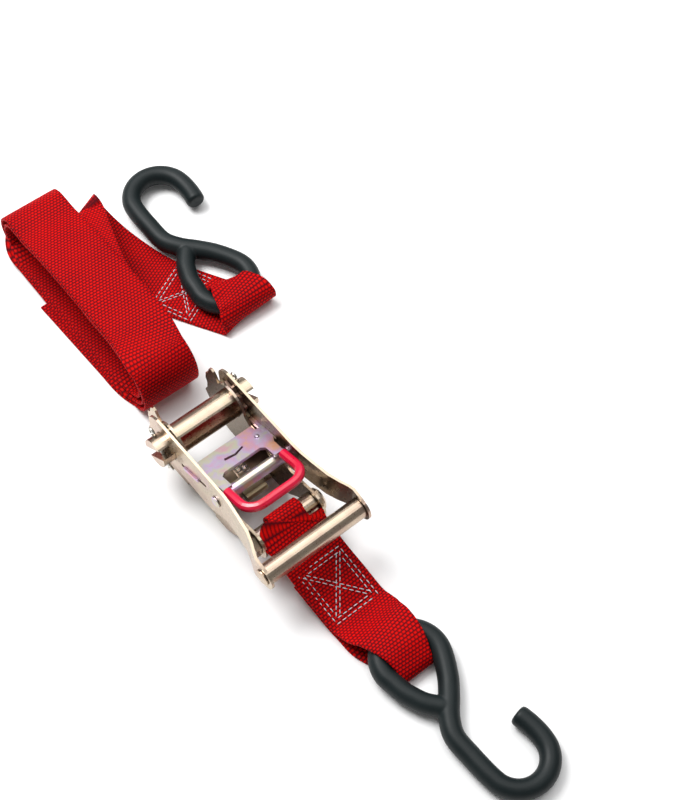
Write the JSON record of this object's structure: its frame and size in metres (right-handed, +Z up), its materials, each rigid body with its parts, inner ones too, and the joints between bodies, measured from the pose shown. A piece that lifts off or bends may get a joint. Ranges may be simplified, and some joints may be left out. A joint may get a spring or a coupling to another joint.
{
  "type": "ratchet tie down",
  "caption": "Ratchet tie-down strap with a cam handle, slotted spindle, sprung pawls, red release bail, coated S-hooks and rolled red webbing.",
  "frame": {"origin": "middle of the slotted winding spindle, on its axis", "axes": "+X towards the fixed S-hook, +Y along the spindle, +Z up off the surface the strap lies on"},
  "size_m": [0.4712, 0.1448, 0.0521],
  "materials": {
    "zinc_gold": "yellow zinc passivate",
    "zinc_lilac": "iridescent zinc passivate",
    "zinc_bronze": "dark zinc passivate",
    "spring_steel": "bright",
    "hook_coating": "satin dipped coat",
    "bail_vinyl": "glossy dipped vinyl",
    "webbing": "woven polyester"
  },
  "bodies": {
    "frame": {"base_frame": "zinc_gold", "fixed_bolt": "zinc_gold", "bolt_sleeve": "zinc_gold", "hex_nut": "zinc_gold"},
    "spindle": {"spindle_bar_upper": "zinc_gold", "spindle_bar_lower": "zinc_gold", "ratchet_wheel_near": "zinc_bronze", "ratchet_wheel_far": "zinc_bronze", "cotter_pin_near": "spring_steel", "cotter_pin_far": "spring_steel"},
    "handle": {"handle_plate_near": "zinc_gold", "handle_plate_far": "zinc_gold", "grip_tube": "zinc_gold", "grip_rivet": "zinc_gold", "cross_rod": "zinc_lilac"},
    "drive_pawl": {"drive_pawl_plate": "zinc_lilac", "bail_coat": "bail_vinyl", "drive_spring": "spring_steel"},
    "lock_pawl": {"lock_pawl_plate": "zinc_bronze", "lock_spring": "spring_steel"},
    "short_strap_body": {"short_strap": "webbing"},
    "fixed_hook_body": {"fixed_hook": "hook_coating"},
    "long_strap": {"strap_roll": "webbing", "strap_lead": "webbing"},
    "loose_hook_body": {"loose_hook": "hook_coating"}
  },
  "joints": [
    {"name": "handle_pivot", "type": "hinge", "parent": "frame", "child": "handle", "pos_m": [0, 0, 0], "axis": [0, -1, 0], "range_deg": [0, 145]},
    {"name": "spindle_turn", "type": "hinge", "parent": "frame", "child": "spindle", "pos_m": [0, 0, 0], "axis": [0, 1, 0], "continuous": true},
    {"name": "drive_pawl_slide", "type": "slide", "parent": "handle", "child": "drive_pawl", "axis": [0.951, 0, 0.3091], "range_m": [0, 0.0045], "stiffness_N_per_m": 400, "springref_m": -0.004, "deforming": ["drive_spring"]},
    {"name": "lock_pawl_slide", "type": "slide", "parent": "frame", "child": "lock_pawl", "axis": [0.9903, 0, -0.1387], "range_m": [0, 0.004], "stiffness_N_per_m": 400, "springref_m": -0.004, "deforming": ["lock_spring"]},
    {"name": "strap_pivot", "type": "hinge", "parent": "frame", "child": "short_strap_body", "pos_m": [0.0745, 0, -0.009], "axis": [0, -1, 0], "range_deg": [-3, 14]},
    {"name": "fixed_hook_swing", "type": "hinge", "parent": "short_strap_body", "child": "fixed_hook_body", "pos_m": [0.1572, 0.0065, -0.025], "axis": [0, -1, 0], "range_deg": [0, 70]},
    {"name": "long_strap_slide", "type": "slide", "parent": "frame", "child": "long_strap", "axis": [-1, 0, 0], "range_m": [0, 0.15]},
    {"name": "loose_hook_swing", "type": "hinge", "parent": "long_strap", "child": "loose_hook_body", "pos_m": [-0.066, 0.0775, -0.025], "axis": [0, 1, 0], "range_deg": [0, 70]}
  ]
}
